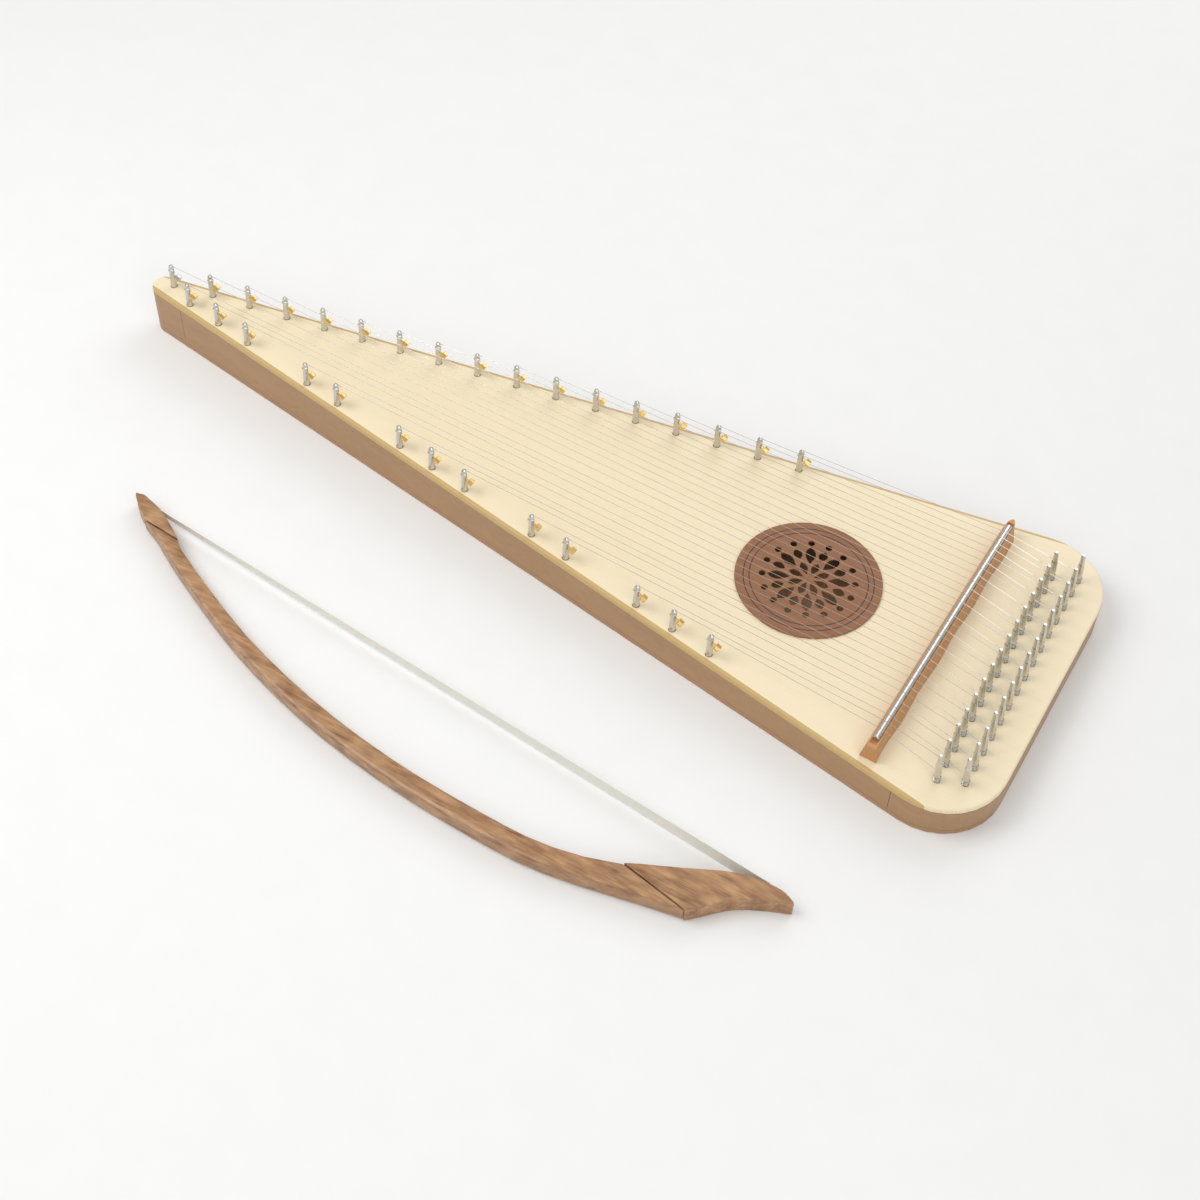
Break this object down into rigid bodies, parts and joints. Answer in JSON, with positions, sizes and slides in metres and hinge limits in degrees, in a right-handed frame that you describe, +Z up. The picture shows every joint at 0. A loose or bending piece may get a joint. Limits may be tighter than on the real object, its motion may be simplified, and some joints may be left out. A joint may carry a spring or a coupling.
{
  "type": "bowed psaltery",
  "caption": "Long triangular bowed psaltery with hitch posts on both sides, brass fine tuners, two rows of tuning pins, a round pierced rosette, and its curved bow beside it.",
  "frame": {"origin": "middle of the flat back on the surface it rests on", "axes": "+X from the pointed nose to the tuning pins, +Y to the side with seventeen posts, +Z up through the soundboard"},
  "size_m": [0.8244, 0.451, 0.0698],
  "materials": {
    "spruce": "satin",
    "body_wood": "satin",
    "block_wood": "matte",
    "bridge_wood": "satin",
    "rosette_wood": "satin",
    "nickel": "polished",
    "brass": "polished",
    "bow_wood": "satin",
    "hair": "matte"
  },
  "bodies": {
    "psaltery": {"back_board": "body_wood", "brace_1": "block_wood", "brace_2": "block_wood", "bridge_base": "bridge_wood", "bridge_rod": "nickel", "nose_block": "body_wood", "pin_block": "body_wood", "rail_far": "body_wood", "rail_near": "body_wood", "rosette": "rosette_wood", "soundboard": "spruce"},
    "bow": {"bow_hair": "hair", "bow_heel": "bow_wood", "bow_stick": "bow_wood", "bow_tip": "bow_wood"},
    "tuning_pin_01": {"tuning_pin_01": "nickel"},
    "tuning_pin_02": {"tuning_pin_02": "nickel"},
    "tuning_pin_03": {"tuning_pin_03": "nickel"},
    "tuning_pin_04": {"tuning_pin_04": "nickel"},
    "tuning_pin_05": {"tuning_pin_05": "nickel"},
    "tuning_pin_06": {"tuning_pin_06": "nickel"},
    "tuning_pin_07": {"tuning_pin_07": "nickel"},
    "tuning_pin_08": {"tuning_pin_08": "nickel"},
    "tuning_pin_09": {"tuning_pin_09": "nickel"},
    "tuning_pin_10": {"tuning_pin_10": "nickel"},
    "tuning_pin_11": {"tuning_pin_11": "nickel"},
    "tuning_pin_12": {"tuning_pin_12": "nickel"},
    "tuning_pin_13": {"tuning_pin_13": "nickel"},
    "tuning_pin_14": {"tuning_pin_14": "nickel"},
    "tuning_pin_15": {"tuning_pin_15": "nickel"},
    "tuning_pin_16": {"tuning_pin_16": "nickel"},
    "tuning_pin_17": {"tuning_pin_17": "nickel"},
    "tuning_pin_18": {"tuning_pin_18": "nickel"},
    "tuning_pin_19": {"tuning_pin_19": "nickel"},
    "tuning_pin_20": {"tuning_pin_20": "nickel"},
    "tuning_pin_21": {"tuning_pin_21": "nickel"},
    "tuning_pin_22": {"tuning_pin_22": "nickel"},
    "tuning_pin_23": {"tuning_pin_23": "nickel"},
    "tuning_pin_24": {"tuning_pin_24": "nickel"},
    "tuning_pin_25": {"tuning_pin_25": "nickel"},
    "tuning_pin_26": {"tuning_pin_26": "nickel"},
    "tuning_pin_27": {"tuning_pin_27": "nickel"},
    "tuning_pin_28": {"tuning_pin_28": "nickel"},
    "tuning_pin_29": {"tuning_pin_29": "nickel"},
    "tuning_pin_30": {"tuning_pin_30": "nickel"},
    "fine_tuner_01": {"fine_tuner_01": "brass"},
    "fine_tuner_02": {"fine_tuner_02": "brass"},
    "fine_tuner_03": {"fine_tuner_03": "brass"},
    "fine_tuner_04": {"fine_tuner_04": "brass"},
    "fine_tuner_05": {"fine_tuner_05": "brass"},
    "fine_tuner_06": {"fine_tuner_06": "brass"},
    "fine_tuner_07": {"fine_tuner_07": "brass"},
    "fine_tuner_08": {"fine_tuner_08": "brass"},
    "fine_tuner_09": {"fine_tuner_09": "brass"},
    "fine_tuner_10": {"fine_tuner_10": "brass"},
    "fine_tuner_11": {"fine_tuner_11": "brass"},
    "fine_tuner_12": {"fine_tuner_12": "brass"},
    "fine_tuner_13": {"fine_tuner_13": "brass"}
  },
  "joints": [
    {"name": "bow_lift", "type": "slide", "parent": "psaltery", "child": "bow", "axis": [0, 0, 1], "range_m": [0, 0.15]},
    {"name": "tuning_pin_01_turn", "type": "hinge", "parent": "psaltery", "child": "tuning_pin_01", "pos_m": [0.38711, 0.1092, 0.02992], "axis": [-0.0532, 0, 0.9986], "range_deg": [-1080, 180]},
    {"name": "tuning_pin_02_turn", "type": "hinge", "parent": "psaltery", "child": "tuning_pin_02", "pos_m": [0.36842, 0.1013, 0.03031], "axis": [-0.0532, 0, 0.9986], "range_deg": [-1080, 180]},
    {"name": "tuning_pin_03_turn", "type": "hinge", "parent": "psaltery", "child": "tuning_pin_03", "pos_m": [0.38711, 0.0937, 0.02992], "axis": [-0.0532, 0, 0.9986], "range_deg": [-1080, 180]},
    {"name": "tuning_pin_04_turn", "type": "hinge", "parent": "psaltery", "child": "tuning_pin_04", "pos_m": [0.36842, 0.0858, 0.03031], "axis": [-0.0532, 0, 0.9986], "range_deg": [-1080, 180]},
    {"name": "tuning_pin_05_turn", "type": "hinge", "parent": "psaltery", "child": "tuning_pin_05", "pos_m": [0.38711, 0.0782, 0.02992], "axis": [-0.0532, 0, 0.9986], "range_deg": [-1080, 180]},
    {"name": "tuning_pin_06_turn", "type": "hinge", "parent": "psaltery", "child": "tuning_pin_06", "pos_m": [0.36842, 0.0703, 0.03031], "axis": [-0.0532, 0, 0.9986], "range_deg": [-1080, 180]},
    {"name": "tuning_pin_07_turn", "type": "hinge", "parent": "psaltery", "child": "tuning_pin_07", "pos_m": [0.38711, 0.0627, 0.02992], "axis": [-0.0532, 0, 0.9986], "range_deg": [-1080, 180]},
    {"name": "tuning_pin_08_turn", "type": "hinge", "parent": "psaltery", "child": "tuning_pin_08", "pos_m": [0.36842, 0.0548, 0.03031], "axis": [-0.0532, 0, 0.9986], "range_deg": [-1080, 180]},
    {"name": "tuning_pin_09_turn", "type": "hinge", "parent": "psaltery", "child": "tuning_pin_09", "pos_m": [0.38711, 0.0472, 0.02992], "axis": [-0.0532, 0, 0.9986], "range_deg": [-1080, 180]},
    {"name": "tuning_pin_10_turn", "type": "hinge", "parent": "psaltery", "child": "tuning_pin_10", "pos_m": [0.36842, 0.0393, 0.03031], "axis": [-0.0532, 0, 0.9986], "range_deg": [-1080, 180]},
    {"name": "tuning_pin_11_turn", "type": "hinge", "parent": "psaltery", "child": "tuning_pin_11", "pos_m": [0.38711, 0.0317, 0.02992], "axis": [-0.0532, 0, 0.9986], "range_deg": [-1080, 180]},
    {"name": "tuning_pin_12_turn", "type": "hinge", "parent": "psaltery", "child": "tuning_pin_12", "pos_m": [0.36842, 0.0238, 0.03031], "axis": [-0.0532, 0, 0.9986], "range_deg": [-1080, 180]},
    {"name": "tuning_pin_13_turn", "type": "hinge", "parent": "psaltery", "child": "tuning_pin_13", "pos_m": [0.38711, 0.0162, 0.02992], "axis": [-0.0532, 0, 0.9986], "range_deg": [-1080, 180]},
    {"name": "tuning_pin_14_turn", "type": "hinge", "parent": "psaltery", "child": "tuning_pin_14", "pos_m": [0.36842, 0.0083, 0.03031], "axis": [-0.0532, 0, 0.9986], "range_deg": [-1080, 180]},
    {"name": "tuning_pin_15_turn", "type": "hinge", "parent": "psaltery", "child": "tuning_pin_15", "pos_m": [0.38711, 0.0007, 0.02992], "axis": [-0.0532, 0, 0.9986], "range_deg": [-1080, 180]},
    {"name": "tuning_pin_16_turn", "type": "hinge", "parent": "psaltery", "child": "tuning_pin_16", "pos_m": [0.36842, -0.0072, 0.03031], "axis": [-0.0532, 0, 0.9986], "range_deg": [-1080, 180]},
    {"name": "tuning_pin_17_turn", "type": "hinge", "parent": "psaltery", "child": "tuning_pin_17", "pos_m": [0.38711, -0.0148, 0.02992], "axis": [-0.0532, 0, 0.9986], "range_deg": [-1080, 180]},
    {"name": "tuning_pin_18_turn", "type": "hinge", "parent": "psaltery", "child": "tuning_pin_18", "pos_m": [0.36842, -0.0227, 0.03031], "axis": [-0.0532, 0, 0.9986], "range_deg": [-1080, 180]},
    {"name": "tuning_pin_19_turn", "type": "hinge", "parent": "psaltery", "child": "tuning_pin_19", "pos_m": [0.38711, -0.0303, 0.02992], "axis": [-0.0532, 0, 0.9986], "range_deg": [-1080, 180]},
    {"name": "tuning_pin_20_turn", "type": "hinge", "parent": "psaltery", "child": "tuning_pin_20", "pos_m": [0.36842, -0.0382, 0.03031], "axis": [-0.0532, 0, 0.9986], "range_deg": [-1080, 180]},
    {"name": "tuning_pin_21_turn", "type": "hinge", "parent": "psaltery", "child": "tuning_pin_21", "pos_m": [0.38711, -0.0458, 0.02992], "axis": [-0.0532, 0, 0.9986], "range_deg": [-1080, 180]},
    {"name": "tuning_pin_22_turn", "type": "hinge", "parent": "psaltery", "child": "tuning_pin_22", "pos_m": [0.36842, -0.0537, 0.03031], "axis": [-0.0532, 0, 0.9986], "range_deg": [-1080, 180]},
    {"name": "tuning_pin_23_turn", "type": "hinge", "parent": "psaltery", "child": "tuning_pin_23", "pos_m": [0.38711, -0.0613, 0.02992], "axis": [-0.0532, 0, 0.9986], "range_deg": [-1080, 180]},
    {"name": "tuning_pin_24_turn", "type": "hinge", "parent": "psaltery", "child": "tuning_pin_24", "pos_m": [0.36842, -0.0692, 0.03031], "axis": [-0.0532, 0, 0.9986], "range_deg": [-1080, 180]},
    {"name": "tuning_pin_25_turn", "type": "hinge", "parent": "psaltery", "child": "tuning_pin_25", "pos_m": [0.38711, -0.0768, 0.02992], "axis": [-0.0532, 0, 0.9986], "range_deg": [-1080, 180]},
    {"name": "tuning_pin_26_turn", "type": "hinge", "parent": "psaltery", "child": "tuning_pin_26", "pos_m": [0.36842, -0.0847, 0.03031], "axis": [-0.0532, 0, 0.9986], "range_deg": [-1080, 180]},
    {"name": "tuning_pin_27_turn", "type": "hinge", "parent": "psaltery", "child": "tuning_pin_27", "pos_m": [0.38711, -0.0923, 0.02992], "axis": [-0.0532, 0, 0.9986], "range_deg": [-1080, 180]},
    {"name": "tuning_pin_28_turn", "type": "hinge", "parent": "psaltery", "child": "tuning_pin_28", "pos_m": [0.36842, -0.1002, 0.03031], "axis": [-0.0532, 0, 0.9986], "range_deg": [-1080, 180]},
    {"name": "tuning_pin_29_turn", "type": "hinge", "parent": "psaltery", "child": "tuning_pin_29", "pos_m": [0.38711, -0.1078, 0.02992], "axis": [-0.0532, 0, 0.9986], "range_deg": [-1080, 180]},
    {"name": "tuning_pin_30_turn", "type": "hinge", "parent": "psaltery", "child": "tuning_pin_30", "pos_m": [0.36842, -0.1157, 0.03031], "axis": [-0.0532, 0, 0.9986], "range_deg": [-1080, 180]},
    {"name": "fine_tuner_01_turn", "type": "hinge", "parent": "psaltery", "child": "fine_tuner_01", "pos_m": [-0.3678, -0.00874, 0.06074], "axis": [0.8771, 0, -0.4802], "range_deg": [-720, 720]},
    {"name": "fine_tuner_02_turn", "type": "hinge", "parent": "psaltery", "child": "fine_tuner_02", "pos_m": [-0.33361, -0.0146, 0.06002], "axis": [0.8771, 0, -0.4802], "range_deg": [-720, 720]},
    {"name": "fine_tuner_03_turn", "type": "hinge", "parent": "psaltery", "child": "fine_tuner_03", "pos_m": [-0.29942, -0.02047, 0.0593], "axis": [0.8771, 0, -0.4802], "range_deg": [-720, 720]},
    {"name": "fine_tuner_04_turn", "type": "hinge", "parent": "psaltery", "child": "fine_tuner_04", "pos_m": [-0.23103, -0.0322, 0.05787], "axis": [0.8771, 0, -0.4802], "range_deg": [-720, 720]},
    {"name": "fine_tuner_05_turn", "type": "hinge", "parent": "psaltery", "child": "fine_tuner_05", "pos_m": [-0.19684, -0.03806, 0.05716], "axis": [0.8771, 0, -0.4802], "range_deg": [-720, 720]},
    {"name": "fine_tuner_06_turn", "type": "hinge", "parent": "psaltery", "child": "fine_tuner_06", "pos_m": [-0.12846, -0.04979, 0.05572], "axis": [0.8771, 0, -0.4802], "range_deg": [-720, 720]},
    {"name": "fine_tuner_07_turn", "type": "hinge", "parent": "psaltery", "child": "fine_tuner_07", "pos_m": [-0.09427, -0.05565, 0.05501], "axis": [0.8771, 0, -0.4802], "range_deg": [-720, 720]},
    {"name": "fine_tuner_08_turn", "type": "hinge", "parent": "psaltery", "child": "fine_tuner_08", "pos_m": [-0.06007, -0.06152, 0.05429], "axis": [0.8771, 0, -0.4802], "range_deg": [-720, 720]},
    {"name": "fine_tuner_09_turn", "type": "hinge", "parent": "psaltery", "child": "fine_tuner_09", "pos_m": [0.00831, -0.07325, 0.05286], "axis": [0.8771, 0, -0.4802], "range_deg": [-720, 720]},
    {"name": "fine_tuner_10_turn", "type": "hinge", "parent": "psaltery", "child": "fine_tuner_10", "pos_m": [0.04251, -0.07911, 0.05214], "axis": [0.8771, 0, -0.4802], "range_deg": [-720, 720]},
    {"name": "fine_tuner_11_turn", "type": "hinge", "parent": "psaltery", "child": "fine_tuner_11", "pos_m": [0.11089, -0.09084, 0.05071], "axis": [0.8771, 0, -0.4802], "range_deg": [-720, 720]},
    {"name": "fine_tuner_12_turn", "type": "hinge", "parent": "psaltery", "child": "fine_tuner_12", "pos_m": [0.14508, -0.0967, 0.04999], "axis": [0.8771, 0, -0.4802], "range_deg": [-720, 720]},
    {"name": "fine_tuner_13_turn", "type": "hinge", "parent": "psaltery", "child": "fine_tuner_13", "pos_m": [0.17927, -0.10257, 0.04928], "axis": [0.8771, 0, -0.4802], "range_deg": [-720, 720]}
  ]
}
